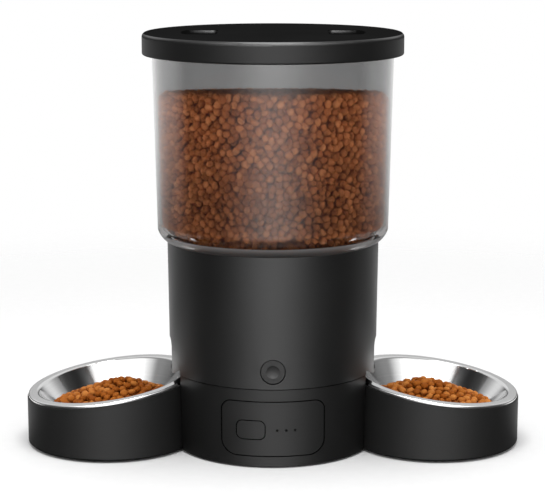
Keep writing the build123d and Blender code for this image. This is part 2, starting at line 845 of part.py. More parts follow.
def make_base_plate():
    sheet = rod(base_foot_radius - wall - slip, foot_proud, plate_top)
    for side in (-1, 1):
        sheet -= bite(side, wall + slip)
    sheet -= block(-door_half_x, door_half_x, -door_half_y, door_half_y, 0, far)
    for x, y in base_pillars:
        sheet -= rod(screw_radius + screw_play, 0, far, x, y)
        sheet -= rod(screw_head_radius + head_play, 0, screw_seat, x, y)
    for x, y in base_foot_places:
        sheet -= rod(foot_radius + press, 0, foot_proud + foot_pocket, x, y)
    return sheet


def make_battery_box():
    half_x = box_half_x + box_wall
    half_y = box_half_y + box_wall
    box = block(-half_x, half_x, -half_y, half_y, plate_top, box_ceiling + box_wall)
    box = fillet(box.edges().filter_by(Axis.Z), 1.5 * box_wall)
    return box - block(-box_half_x, box_half_x, -box_half_y, box_half_y, 0, box_ceiling)


def cell_rows():
    middle = (cell_count - 1) / 2
    return [(row, (row - middle) * cell_pitch) for row in range(cell_count)]


def make_battery_cells():
    cells = []
    for row, y in cell_rows():
        turn = 180 * (row % 2)
        inset = cell_radius - cell_edge
        cell = turned([(0, 0), (inset, 0), (cell_radius, cell_edge), (cell_radius, cell_length - cell_edge),
                       (inset, cell_length), (cell_nub_radius, cell_length),
                       (cell_nub_radius, cell_length + cell_nub), (0, cell_length + cell_nub)])
        lying = Rot(0, 90, 0) * Pos(0, 0, -cell_length / 2) * cell
        cells.append(Pos(0, y, cell_z) * Rot(0, 0, turn) * lying)
    return Part() + cells


def make_battery_contacts():
    # flat tab for each nub, bent leaf for each flat end
    pieces = []
    half = contact_half
    low = cell_z - half
    high = cell_z + half
    back = contact_sheet / 2 - box_half_x
    bow = -cell_length / 2 - 1.6 * contact_sheet
    for row, y in cell_rows():
        hand = 1 if row % 2 == 0 else -1
        tab = block(box_half_x - contact_sheet, box_half_x, y - half, y + half, low, high)
        path = FilletPolyline((back, low), (back, cell_z + half / 3), (bow, cell_z),
                              (back + 3 * contact_sheet, low), radius=1.6 * contact_sheet)
        leaf = front_prism(trace(path, contact_sheet), y - half / 2, y + half / 2)
        for piece in (tab, leaf):
            pieces.append(piece if hand > 0 else mirror(piece, about=Plane.YZ))
    return Part() + pieces


def make_battery_door():
    # flat door with two hooks, a ribbed thumb patch and one screw
    half_x = door_half_x - slip
    half_y = door_half_y - slip
    door = block(-half_x, half_x, -half_y, half_y, foot_proud, plate_top)
    door = fillet(door.edges().filter_by(Axis.Z), door_corner)
    hook_top = plate_top + hook_sheet
    for side in (-1, 1):
        hook = block(-hook_half, hook_half, press - box_half_y, hook_half - half_y, plate_top, hook_top)
        door += Pos(side * half_x * 0.42, 0, 0) * hook
    for row in range(rib_count):
        y = door_screw_y - 2 * screw_head_radius - row * rib_pitch
        door -= block(-rib_half, rib_half, y, y + rib_pitch * 0.4, 0, foot_proud + rib_depth)
    door -= rod(screw_radius + screw_play, 0, far, 0, door_screw_y)
    return door - rod(screw_head_radius + head_play, 0, screw_seat, 0, door_screw_y)


def make_battery_door_screw():
    return pan_screw(0, door_screw_y, screw_seat, plate_top + box_wall)


def make_control_panel():
    panel = front_prism(panel_face(-panel_gap), -far, board_front) & (base_core(0.0) - base_core(panel_sheet))
    posts = Part()
    post_x = panel_width / 2 - post_inset
    for x in (-post_x, post_x):
        for z in (panel_bottom + panel_bottom_corner * 2 / 3, panel_top - panel_top_corner):
            posts += rod_y(panel_post_radius, -base_radius_at(z), board_front, x, z)
    panel += posts & base_core(panel_sheet / 2)
    panel -= front_prism(power_button_face(power_gap), -far, board_front)
    for x in light_xs:
        panel -= rod_y(light_radius + light_gap, -far, 0, x, control_height)
    return panel


def make_power_button():
    # cap flush with the panel, a flange behind it and a stem to the switch
    reach = abs(power_button_x) + power_button_width / 2 + button_lip
    behind = base_radius_at(control_height - power_button_height / 2 - button_lip) - panel_sheet
    flange_front = slip - math.sqrt(behind ** 2 - reach ** 2)
    flange_back = flange_front + button_lip_sheet
    cap = front_prism(power_button_face(0.0), -far, flange_back) & base_core(0.0)
    cap += front_prism(power_button_face(button_lip), flange_front, flange_back)
    tip = board_front - switch_height - plunger_height - power_button_travel - running
    return cap + rod_y(button_stem_radius, flange_front, tip, power_button_x, control_height)


def make_indicator_lights():
    back = board_front - chip_height - slip
    pipes = Part() + [rod_y(light_radius, -far, back, x, control_height) for x in light_xs]
    return pipes & base_core(light_sink)


def make_control_board():
    half = panel_width / 2 - board_inset
    back = board_front + board_sheet
    low = panel_bottom + board_inset
    board = block(-half, half, board_front, back, low, panel_top - board_inset)
    board += switch_on_board(power_button_x, control_height, board_front)
    chip = 1.5 * chip_height
    for x in light_xs:
        lamp = block(-chip, chip, board_front - chip_height, board_front, -chip_height, chip_height)
        board += Pos(x, 0, control_height) * lamp
    board += block(-switch_size, switch_size, back, back + chip_height, control_height - switch_size,
                   control_height + switch_size)
    return board + block(half - 4 * switch_size, half - switch_size, back, back + switch_size, low + over,
                         low + over + switch_size)


def make_feed_button_board():
    front = feed_board_front
    half = feed_button_radius + button_lip + wall
    low = feed_button_height - half
    board = block(-half, half, front, front + board_sheet, low, feed_button_height + half)
    return board + switch_on_board(0, feed_button_height, front)


def make_feed_button():
    # dished round cap with a retaining flange and a stem
    front_y = button_gap - body_radius_at(feed_button_height)
    skirt = -wall - feed_button_travel
    flange_back = skirt - button_lip_sheet
    tip = front_y - feed_board_front + switch_height + plunger_height + feed_button_travel + running
    edge = feed_dish_depth / 2
    wide = feed_button_radius + button_lip
    outline = Curve() + [
        ThreePointArc((0, -feed_dish_depth), (feed_dish_radius * 0.55, -feed_dish_depth * 0.7),
                      (feed_dish_radius, 0)),
        Polyline((feed_dish_radius, 0), (feed_button_radius - edge, 0), (feed_button_radius, -edge),
                 (feed_button_radius, skirt), (wide, skirt), (wide, flange_back),
                 (button_stem_radius, flange_back), (button_stem_radius, tip), (0, tip),
                 (0, -feed_dish_depth)),
    ]
    cap = revolve(Plane.XZ * make_face(outline.edges()), Axis.Z)
    return Pos(0, front_y, feed_button_height) * Rot(90, 0, 0) * cap


def make_dc_inlet():
    # barrel inlet: block behind the wall, nose through it, centre pin
    rear = base_radius_at(inlet_height)
    half = inlet_nose * 1.2
    body = block(-half, half, rear - inlet_depth - inlet_nose, rear - wall - 2 * slip, inlet_height - half,
                 inlet_height + half)
    body += rod_y(inlet_nose, rear - inlet_nose, rear - screw_play, 0, inlet_height)
    body -= rod_y(inlet_bore, rear - inlet_depth, rear + over, 0, inlet_height)
    return body + rod_y(inlet_pin, rear - inlet_depth - over, rear - 1.5 * inlet_pin, 0, inlet_height)


def make_housing_screws():
    return Part() + [pan_screw(x, y, deck_bottom, base_height + screw_length) for x, y in housing_bosses]


def make_base_screws():
    return Part() + [pan_screw(x, y, screw_seat, plate_top + screw_length) for x, y in base_pillars]


def rubber_foot(x, y):
    top = foot_proud + foot_pocket
    inset = foot_radius - foot_edge
    return Pos(x, y, 0) * turned([(0, 0), (inset, 0), (foot_radius, foot_edge), (foot_radius, top), (0, top)])


def make_base_feet():
    return Part() + [rubber_foot(x, y) for x, y in base_foot_places]


# Bowl stations, drawn for the left side and mirrored for the right
bowl_seat = Pos(0, 0, holder_height) * Rot(bowl_lean, -bowl_tilt, 0)


def on_side(shape, side):
    return shape if side < 0 else mirror(shape, about=Plane.YZ)


def make_bowl_holder(side):
    middle = Pos(-station_x, 0, 0)
    high = holder_height + holder_radius
    inside = holder_radius - wall
    cup = turned([(0, foot_proud), (holder_radius, foot_proud), (holder_radius, high), (0, high)],
                 [0, holder_edge, 0, 0])
    cup -= rod(inside, foot_proud + wall, far)
    cup = middle * (cup - bowl_seat * block(-far, far, -far, far, 0, far))
    inner_end = holder_radius - station_x
    half = tongue_width / 2
    tongue_high = tongue_low + tongue_height
    tongue = block(inner_end - wall, inner_end + tongue_length, -half, half, tongue_low, tongue_high)
    tongue = fillet(tongue.edges().filter_by(Axis.Z).sort_by(Axis.X)[-2:], tongue_height * 2 / 3)
    cup += tongue - middle * rod(inside, 0, far)
    for x, y in holder_foot_places:
        cup -= rod(foot_radius + press, 0, foot_proud + foot_pocket, x, y)
    return on_side(cup, side)


def make_holder_feet(side):
    return on_side(Part() + [rubber_foot(x, y) for x, y in holder_foot_places], side)


def make_bowl(side):
    # pressed steel bowl with a flat flange and a rolled hem that sits on the holder
    half = bowl_sheet / 2
    top = hem_height - half
    floor = hem_height - bowl_depth + half
    path = FilletPolyline((0, floor), (bowl_floor_radius, floor), (bowl_radius - rim_flange, top),
                          (bowl_radius - hem_width / 2, top), radius=[bowl_floor_bend, bowl_rim_bend])
    sheet = revolve(Plane.XZ * trace(path, bowl_sheet), Axis.Z)
    inner = bowl_radius - hem_width
    sheet += turned([(inner, 0), (bowl_radius, 0), (bowl_radius, hem_height), (inner, hem_height)],
                    [hem_edge, hem_edge, hem_top_edge, 0])
    return on_side(Pos(-station_x, 0, 0) * bowl_seat * sheet, side)


nodes = {
    "lid": make_lid(),
    "lid_seal": make_lid_seal(),
    "hopper": make_hopper(),
    "upper_housing": make_upper_housing(),
    "feed_funnel": make_feed_funnel(),
    "left_chute": make_chute(-1),
    "right_chute": make_chute(1),
    "portion_cover": make_portion_cover(),
    "portion_rotor": make_portion_rotor(),
    "rotor_shaft": make_rotor_shaft(),
    "rotor_bush": make_rotor_bush(),
    "stirrer": make_stirrer(),
    "stirrer_nut": make_stirrer_nut(),
    "output_gear": make_output_gear(),
    "idler_gear": make_idler_gear(),
    "idler_pin": make_idler_pin(),
    "motor_pinion": make_motor_pinion(),
    "motor_shaft": make_motor_shaft(),
    "motor": make_motor(),
    "gearbox_housing": make_gearbox_housing(),
    "gearbox_cover": make_gearbox_cover(),
    "gearbox_screws": make_gearbox_screws(),
    "base_housing": make_base_housing(),
    "base_plate": make_base_plate(),
    "battery_box": make_battery_box(),
    "battery_cells": make_battery_cells(),
    "battery_contacts": make_battery_contacts(),
    "battery_door": make_battery_door(),
    "battery_door_screw": make_battery_door_screw(),
    "control_panel": make_control_panel(),
    "control_board": make_control_board(),
    "power_button": make_power_button(),
    "indicator_lights": make_indicator_lights(),
    "feed_button": make_feed_button(),
    "feed_button_board": make_feed_button_board(),
    "dc_inlet": make_dc_inlet(),
    "housing_screws": make_housing_screws(),
    "base_screws": make_base_screws(),
    "base_feet": make_base_feet(),
}
for name, side in (("left", -1), ("right", 1)):
    nodes[name + "_bowl_holder"] = make_bowl_holder(side)
    nodes[name + "_holder_feet"] = make_holder_feet(side)
    nodes[name + "_bowl"] = make_bowl(side)

os.makedirs("parts", exist_ok=True)
for name, shape in nodes.items():
    export_step(shape, f"parts/{name}.step")
print(len(nodes), "nodes written")
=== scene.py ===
import bpy
import math
from mathutils import Matrix, Vector


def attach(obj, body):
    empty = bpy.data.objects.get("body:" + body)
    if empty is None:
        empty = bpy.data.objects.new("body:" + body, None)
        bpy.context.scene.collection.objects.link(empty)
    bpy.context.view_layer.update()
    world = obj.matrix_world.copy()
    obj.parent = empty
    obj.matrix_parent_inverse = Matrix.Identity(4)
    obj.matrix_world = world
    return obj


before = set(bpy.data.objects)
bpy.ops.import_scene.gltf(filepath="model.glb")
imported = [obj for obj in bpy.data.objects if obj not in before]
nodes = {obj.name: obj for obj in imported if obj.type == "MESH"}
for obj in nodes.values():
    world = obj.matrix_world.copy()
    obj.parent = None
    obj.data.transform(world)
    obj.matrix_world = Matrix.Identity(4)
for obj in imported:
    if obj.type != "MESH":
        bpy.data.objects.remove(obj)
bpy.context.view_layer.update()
scene = bpy.context.scene
scene.view_settings.view_transform = "Standard"
print("frame loaded:", len(nodes), "CAD nodes")


class Wire:
    # a socket in a node tree; sums with it add Math nodes
    def __init__(self, tree, socket=None):
        self.tree = tree
        self.socket = socket

    def node(self, kind, settings=None, inputs=None, output=0):
        made = self.tree.nodes.new(kind)
        for name, value in (settings or {}).items():
            if name == "stops":
                setStops(made.color_ramp, value)
            else:
                setattr(made, name, value)
        for name, value in (inputs or {}).items():
            for item in value if isinstance(value, list) else [value]:
                if isinstance(item, Wire):
                    self.tree.links.new(item.socket, made.inputs[name])
                else:
                    made.inputs[name].default_value = item
        return Wire(self.tree, made.outputs[output] if len(made.outputs) else None)

    def sum(self, operation, first, second):
        return self.node("ShaderNodeMath", {"operation": operation}, {0: first, 1: second})

    def __add__(self, other):
        return self.sum("ADD", self, other)

    def __radd__(self, other):
        return self.sum("ADD", other, self)

    def __sub__(self, other):
        return self.sum("SUBTRACT", self, other)

    def __rsub__(self, other):
        return self.sum("SUBTRACT", other, self)

    def __mul__(self, other):
        return self.sum("MULTIPLY", self, other)

    def __rmul__(self, other):
        return self.sum("MULTIPLY", other, self)

    def __pow__(self, other):
        return self.sum("POWER", self, other)

    def over(self, other):
        return self.sum("DIVIDE", self, other)

    def larger(self, other):
        return self.sum("MAXIMUM", self, other)

    def size(self):
        return self.sum("ABSOLUTE", self, 0.0)

    def smooth(self, low, high):
        # 0 below low, 1 above high, soft between
        return self.node("ShaderNodeMapRange", {"interpolation_type": "SMOOTHSTEP"},
                         {"Value": self, "From Min": low, "From Max": high})


def setStops(ramp, stops):
    ramp.elements[0].position, ramp.elements[0].color = stops[0]
    ramp.elements[1].position, ramp.elements[1].color = stops[-1]
    for place, colour in stops[1:-1]:
        ramp.elements.new(place).color = colour


def newMaterial(name):
    made = bpy.data.materials.new(name)
    made.use_nodes = True
    made.node_tree.nodes.clear()
    return made, Wire(made.node_tree)


def shade(wire, sockets, *overlays):
    # each overlay is a further finish and the share it covers
    surface = wire.node("ShaderNodeBsdfPrincipled", inputs=sockets)
    for finish, share in overlays:
        upper = wire.node("ShaderNodeBsdfPrincipled", inputs=finish)
        surface = wire.node("ShaderNodeMixShader", inputs={0: share, 1: surface, 2: upper})
    wire.node("ShaderNodeOutputMaterial", inputs={"Surface": surface})


def objectPlace(wire):
    return wire.node("ShaderNodeTexCoord", output="Object")


def axisOf(wire, place, axis):
    return wire.node("ShaderNodeSeparateXYZ", inputs={0: place}, output=axis)


def axesOf(wire, place):
    return [axisOf(wire, place, axis) for axis in "XYZ"]


tiny = 1e-6     # keeps a length above nought where something is divided by it


def flatLength(x, y, least=0.0):
    return (x * x + y * y + least) ** 0.5


def noise(wire, place, size, detail=2.0):
    # size is the width of one spot in metres
    return wire.node("ShaderNodeTexNoise", inputs={"Vector": place, "Scale": 1 / size, "Detail": detail})


def around(value, spread, wave):
    # value, up to half the spread less or more as a noise runs from 0 to 1
    return (wave - 0.5) * spread + value


def mixColour(wire, factor, first, second):
    return wire.node("ShaderNodeMix", {"data_type": "RGBA"}, {0: factor, 6: first, 7: second}, 2)


def bumped(wire, strength, depth, height):
    return wire.node("ShaderNodeBump", inputs={"Strength": strength, "Distance": depth, "Height": height})


def grey(value, warm=0.0):
    return (value * (1 + warm), value, value * (1 - warm), 1.0)


def dress(material, *names):
    for name in names:
        for slot in nodes[name].material_slots:
            slot.material = material


# moulded plastics: fine spark texture, faint clouding from handling
def mouldedPlastic(name, look, extra=None):
    made, wire = newMaterial(name)
    place = objectPlace(wire)
    spark = noise(wire, place, look["spark"], detail=1.0)
    cloud = noise(wire, place, look["cloud"], detail=3.0)
    colour = mixColour(wire, cloud, look["dark"], look["light"])
    rough = around(around(look["rough"], look["roughSpread"], cloud), look["sparkSpread"], spark)
    bump = bumped(wire, look["bump"], look["spark"] * look["sparkDepth"], spark)
    finish = {"Base Color": colour, "Roughness": rough, "Normal": bump,
              "Specular IOR Level": look["specular"]}
    shade(wire, finish, *(extra(wire, place, finish, look) if extra else []))
    return made


# base: painted shade, black down in the gaps round the panel and its button
def paintedGapShade(wire, place, finish, look):
    x, y, z = axesOf(wire, place)
    depth = z * look["lean"] + look["foot"] - flatLength(x, y)
    # painted shade: inside the gaps the plastic is coloured black, without gloss
    gapShade = {**finish, "Base Color": look["gapShadeColour"], "Specular IOR Level": 0.0}
    return [(gapShade, depth.smooth(*look["gapShadeDepth"]))]


# lid: dry matt top and finger recesses, coloured a lighter black as painted sheen; polished by use on
# its rim and at the inner ends of the recesses
def matteTopAndPaintedSheen(wire, place, finish, look):
    x, y, z = axesOf(wire, place)
    cloud = noise(wire, place, look["cloud"], detail=3.0)
    # painted sheen: the top and recesses get a lighter black in place of the sheen they lack
    colour = mixColour(wire, cloud, look["topPaintedSheenDark"], look["topPaintedSheenLight"])
    matteAndPaintedSheen = {**finish, "Base Color": colour, "Specular IOR Level": 0.0}
    polish = {**finish, "Roughness": look["polishRough"], "Specular IOR Level": look["polish"]}
    top = z.smooth(*look["top"])
    recess = (1 - x.size().smooth(*look["recessEnd"])) * (1 - y.size().smooth(*look["recessSide"]))
    worn = (1 - x.size().smooth(*look["grip"])) * z.smooth(*look["gripHeight"])
    rim = flatLength(x, y).smooth(*look["rim"]) * z.smooth(*look["rimHeight"])
    return [(matteAndPaintedSheen, top.larger(recess)), (polish, (worn * recess).larger(rim) * (1 - top))]


blackLook = {"dark": grey(0.0034, 0.02), "light": grey(0.0048, 0.02), "spark": 0.0007, "sparkDepth": 0.25,
             "cloud": 0.05, "rough": 0.40, "roughSpread": 0.08, "sparkSpread": 0.10, "bump": 0.10,
             "specular": 0.5}
blackPlastic = mouldedPlastic("satinBlackPlastic", blackLook)
dress(blackPlastic, "upper_housing", "left_chute", "right_chute", "base_plate", "battery_door")
buttonLook = {**blackLook, "rough": 0.56, "specular": 0.36}
dress(mouldedPlastic("buttonPlastic", buttonLook), "feed_button")
# foot is the base's radius at the floor, and lean how much it widens for each metre up; the gap colour is
# painted shade
baseLook = {**blackLook, "rough": 0.42, "specular": 0.42, "foot": 0.0900, "lean": 0.0343,
            "gapShadeDepth": (0.0003, 0.0008), "gapShadeColour": grey(0.001)}
dress(mouldedPlastic("basePlastic", baseLook, paintedGapShade), "base_housing", "control_panel", "power_button")
holderLook = {**blackLook, "rough": 0.54, "specular": 0.29}
dress(mouldedPlastic("holderPlastic", holderLook), "left_bowl_holder", "right_bowl_holder")
# each pair is the two places, in metres, between which a finish fades in or out; the top's colours are painted
# sheen
lidLook = {**blackLook, "rough": 0.44, "specular": 0.28, "topPaintedSheenDark": grey(0.0075), "topPaintedSheenLight": grey(0.0105),
           "top": (0.3689, 0.3693), "recessEnd": (0.080, 0.084), "recessSide": (0.040, 0.044),
           "grip": (0.050, 0.077), "gripHeight": (0.3660, 0.3692), "rim": (0.1060, 0.1070),
           "rimHeight": (0.3670, 0.3680), "polish": 0.8, "polishRough": 0.31}
dress(mouldedPlastic("lidPlastic", lidLook, matteTopAndPaintedSheen), "lid")
innerLook = {**blackLook, "rough": 0.52, "spark": 0.0011}
dress(mouldedPlastic("innerBlackPlastic", innerLook),
      "feed_funnel", "portion_cover", "battery_box", "dc_inlet")
greyLook = {**blackLook, "dark": grey(0.30), "light": grey(0.36), "rough": 0.45}
dress(mouldedPlastic("greyPlastic", greyLook), "portion_rotor", "stirrer", "stirrer_nut")
gearLook = {**blackLook, "dark": grey(0.76, 0.02), "light": grey(0.84, 0.02), "rough": 0.38, "bump": 0.05}
dress(mouldedPlastic("gearAcetal", gearLook), "output_gear", "idler_gear", "motor_pinion")
gearboxLook = {**blackLook, "dark": grey(0.15), "light": grey(0.19)}
dress(mouldedPlastic("gearboxPlastic", gearboxLook), "gearbox_housing", "gearbox_cover")
rubberLook = {**blackLook, "dark": grey(0.014), "light": grey(0.022), "rough": 0.8, "spark": 0.0015,
              "specular": 0.3}
dress(mouldedPlastic("footRubber", rubberLook), "base_feet", "left_holder_feet", "right_holder_feet")
sealLook = {**rubberLook, "dark": grey(0.42), "light": grey(0.50), "rough": 0.62}
dress(mouldedPlastic("sealSilicone", sealLook), "lid_seal")
boardLook = {**blackLook, "dark": (0.016, 0.10, 0.035, 1), "light": (0.022, 0.14, 0.05, 1), "rough": 0.35}
dress(mouldedPlastic("boardGreen", boardLook), "control_board", "feed_button_board")
jacketLook = {**blackLook, "dark": (0.05, 0.052, 0.06, 1), "light": (0.062, 0.064, 0.072, 1), "rough": 0.25}
dress(mouldedPlastic("cellJacket", jacketLook), "battery_cells")
lightLook = {**blackLook, "dark": grey(0.001), "light": grey(0.002), "rough": 0.5, "specular": 0.05}
dress(mouldedPlastic("smokedLightPipe", lightLook), "indicator_lights")
print("plastics dressed")


# metals: fine scratches over a plain plating
def platedMetal(name, look):
    made, wire = newMaterial(name)
    place = objectPlace(wire)
    haze = noise(wire, place, look["haze"], detail=3.0)
    stretched = wire.node("ShaderNodeMapping", inputs={"Vector": place, "Scale": look["stretch"]})
    scratch = noise(wire, stretched, look["scratch"])
    colour = mixColour(wire, haze, look["dark"], look["light"])
    rough = around(around(look["rough"], look["hazeSpread"], haze), look["scratchSpread"], scratch)
    bump = bumped(wire, look["bump"], look["bumpDepth"], scratch)
    shade(wire, {"Base Color": colour, "Roughness": rough, "Metallic": 1.0, "Normal": bump})
    return made


zincLook = {"dark": grey(0.52), "light": grey(0.62), "rough": 0.32, "haze": 0.004, "hazeSpread": 0.10,
            "scratch": 0.0008, "scratchSpread": 0.12, "stretch": (1, 1, 0.1), "bump": 0.12,
            "bumpDepth": 0.0002}
dress(platedMetal("zincPlate", zincLook),
      "gearbox_screws", "housing_screws", "base_screws", "battery_door_screw", "motor")
shaftLook = {**zincLook, "dark": grey(0.56), "light": grey(0.66), "rough": 0.22, "stretch": (0.1, 0.1, 1)}
dress(platedMetal("groundShaft", shaftLook), "rotor_shaft", "idler_pin", "motor_shaft")
contactLook = {**zincLook, "dark": grey(0.6, 0.04), "light": grey(0.7, 0.04)}
dress(platedMetal("contactNickel", contactLook), "battery_contacts")
bushLook = {**zincLook, "dark": (0.42, 0.24, 0.10, 1), "light": (0.52, 0.31, 0.14, 1), "rough": 0.4}
dress(platedMetal("bushBronze", bushLook), "rotor_bush")
print("small metals dressed")

# steel bowls: turned grain round the bowl's own sloping axis
bowlLook = {"centre": (0.1461, 0.0, 0.0531), "tilt": math.radians(7.85), "lean": math.radians(1.6),
            "flatten": 0.6, "line": 0.0005, "lineSpread": 0.07, "band": 0.004, "bandShare": 0.6,
            "cloud": 0.03, "cloudSpread": 0.08, "dark": grey(0.66), "light": grey(0.76), "rough": 0.11,
            "bump": 0.03, "bumpDepth": 0.0002}


def turnedSteel(name, side, look):
    made, wire = newMaterial(name)
    x, y, z = look["centre"]
    local = wire.node("ShaderNodeMapping", {"vector_type": "TEXTURE"},
                      {"Vector": objectPlace(wire), "Location": (side * x, y, z),
                       "Rotation": (look["lean"], side * look["tilt"], 0)})
    flat = wire.node("ShaderNodeVectorMath", {"operation": "MULTIPLY"},
                     {0: local, 1: (1, 1, look["flatten"])})
    radius = wire.node("ShaderNodeVectorMath", {"operation": "LENGTH"}, {0: flat}, "Value")

    def rings(width, detail):
        return wire.node("ShaderNodeTexNoise", {"noise_dimensions": "1D"},
                         {"W": radius * (1 / width), "Detail": detail})

    line = rings(look["line"], 3.0)
    band = rings(look["band"], 1.0)
    cloud = noise(wire, local, look["cloud"], detail=3.0)
    tone = band * look["bandShare"] + line * (1 - look["bandShare"])
    colour = mixColour(wire, tone, look["dark"], look["light"])
    rough = around(around(look["rough"], look["lineSpread"], line), look["cloudSpread"], cloud)
    bump = bumped(wire, look["bump"], look["bumpDepth"], line)
    shade(wire, {"Base Color": colour, "Roughness": rough, "Metallic": 1.0, "Normal": bump})
    return made


for bowlName, bowlSide in (("left_bowl", -1), ("right_bowl", 1)):
    dress(turnedSteel(bowlName + "Steel", bowlSide, bowlLook), bowlName)
print("bowls dressed")

# hopper: smoky clear plastic with faint flow clouding; its shoulder hardly bends the light, and its thick
# lower rim is frosted on the outside in a pale grey, paler upwards, that is painted light caught in the rim
hopperLook = {"dark": grey(0.40), "light": grey(0.46), "rough": 0.06, "cloud": 0.03, "cloudSpread": 0.04,
              "ior": 1.46, "plainIor": 1.02, "plainShare": 0.75, "shoulder": (0.2000, 0.2050),
              "rim": (0.1939, 0.1951), "rimShare": 0.70, "rimPaintedLightRise": (0.1885, 0.1951), "rimPaintedLightLow": grey(0.05),
              "rimPaintedLightHigh": grey(0.17), "rimRougher": 0.3}


def smokyClear(name, look):
    made, wire = newMaterial(name)
    place = objectPlace(wire)
    height = axisOf(wire, place, "Z")
    cloud = noise(wire, place, look["cloud"], detail=3.0)
    colour = mixColour(wire, cloud, look["dark"], look["light"])
    rough = around(look["rough"], look["cloudSpread"], cloud)
    clear = {"Base Color": colour, "Roughness": rough, "IOR": look["ior"], "Transmission Weight": 1.0}
    plain = {**clear, "IOR": look["plainIor"]}
    shoulder = 1 - height.smooth(*look["shoulder"])
    # painted light: a pale grey on the rim's outer skin, paler towards its top, stands in for light caught in
    # the clear rim
    rimPaintedLight = mixColour(wire, height.smooth(*look["rimPaintedLightRise"]), look["rimPaintedLightLow"], look["rimPaintedLightHigh"])
    frostAndPaintedLight = {"Base Color": rimPaintedLight, "Roughness": rough + look["rimRougher"]}
    outside = 1 - wire.node("ShaderNodeNewGeometry", output="Backfacing")
    rim = (1 - height.smooth(*look["rim"])) * outside
    shade(wire, clear, (plain, shoulder * look["plainShare"]), (frostAndPaintedLight, rim * look["rimShare"]))
    return made


dress(smokyClear("smokyClearPlastic", hopperLook), "hopper")
print("hopper dressed")

# dry kibble: crumbly baked pieces, each a little different in colour
kibbleLook = {"stops": [(0.0, (0.15, 0.030, 0.002, 1)), (0.15, (0.24, 0.056, 0.004, 1)),
                        (0.6, (0.43, 0.132, 0.018, 1)), (1.0, (0.64, 0.245, 0.056, 1))],
              "blotch": 0.006, "blotchTone": 0.92, "blotchSpread": 0.4, "crumb": 0.0011, "crumbTone": 0.10,
              "crumbSpread": 0.2, "rough": 0.62, "specular": 0.08, "bump": 0.35, "bumpDepth": 0.0006}
# in the hopper it is dull, and darker the lower it lies: painted shade
storedLook = {**kibbleLook, "specular": 0.0, "lowShade": 0.42, "lowShadeHeight": (0.19, 0.33),
              "stops": [(0.0, (0.239, 0.064, 0.017, 1)), (0.3, (0.372, 0.111, 0.034, 1)),
                        (0.7, (0.50, 0.165, 0.055, 1)), (1.0, (0.666, 0.251, 0.093, 1))]}


def bakedKibble(name, look):
    made, wire = newMaterial(name)
    place = objectPlace(wire)
    crumb = noise(wire, place, look["crumb"], detail=3.0)
    blotch = noise(wire, place, look["blotch"])
    own = wire.node("ShaderNodeAttribute", {"attribute_name": "bake"}, output="Fac")
    tone = around(own * around(look["blotchTone"], look["blotchSpread"], blotch), look["crumbTone"], crumb)
    colour = wire.node("ShaderNodeValToRGB", {"stops": look["stops"]}, {"Fac": tone}, "Color")
    if "lowShade" in look:
        # painted shade: the colour darkens towards the bottom of the hopper
        depth = 1 - axisOf(wire, place, "Z").smooth(*look["lowShadeHeight"])
        colour = mixColour(wire, depth * look["lowShade"], colour, grey(0.0))
    rough = around(look["rough"], look["crumbSpread"], crumb)
    bump = bumped(wire, look["bump"], look["bumpDepth"], crumb)
    shade(wire, {"Base Color": colour, "Roughness": rough, "Normal": bump,
                 "Specular IOR Level": look["specular"]})
    return made


bowlSkin = bakedKibble("bakedKibble", kibbleLook)
storedSkin = bakedKibble("storedKibble", storedLook)

# one piece of kibble is a squat lumpy ball, in a few variants
kibbleForm = {"variants": 4, "segments": 8, "rings": 4, "lumpScale": 1.1, "lumpStep": 3.7, "least": 0.82,
              "lump": 0.36, "width": 0.95, "height": 0.66, "vary": 0.03, "turn": 6.28, "bake": (0.2, 1.0),
              "density": 600000.0, "underside": -0.8}
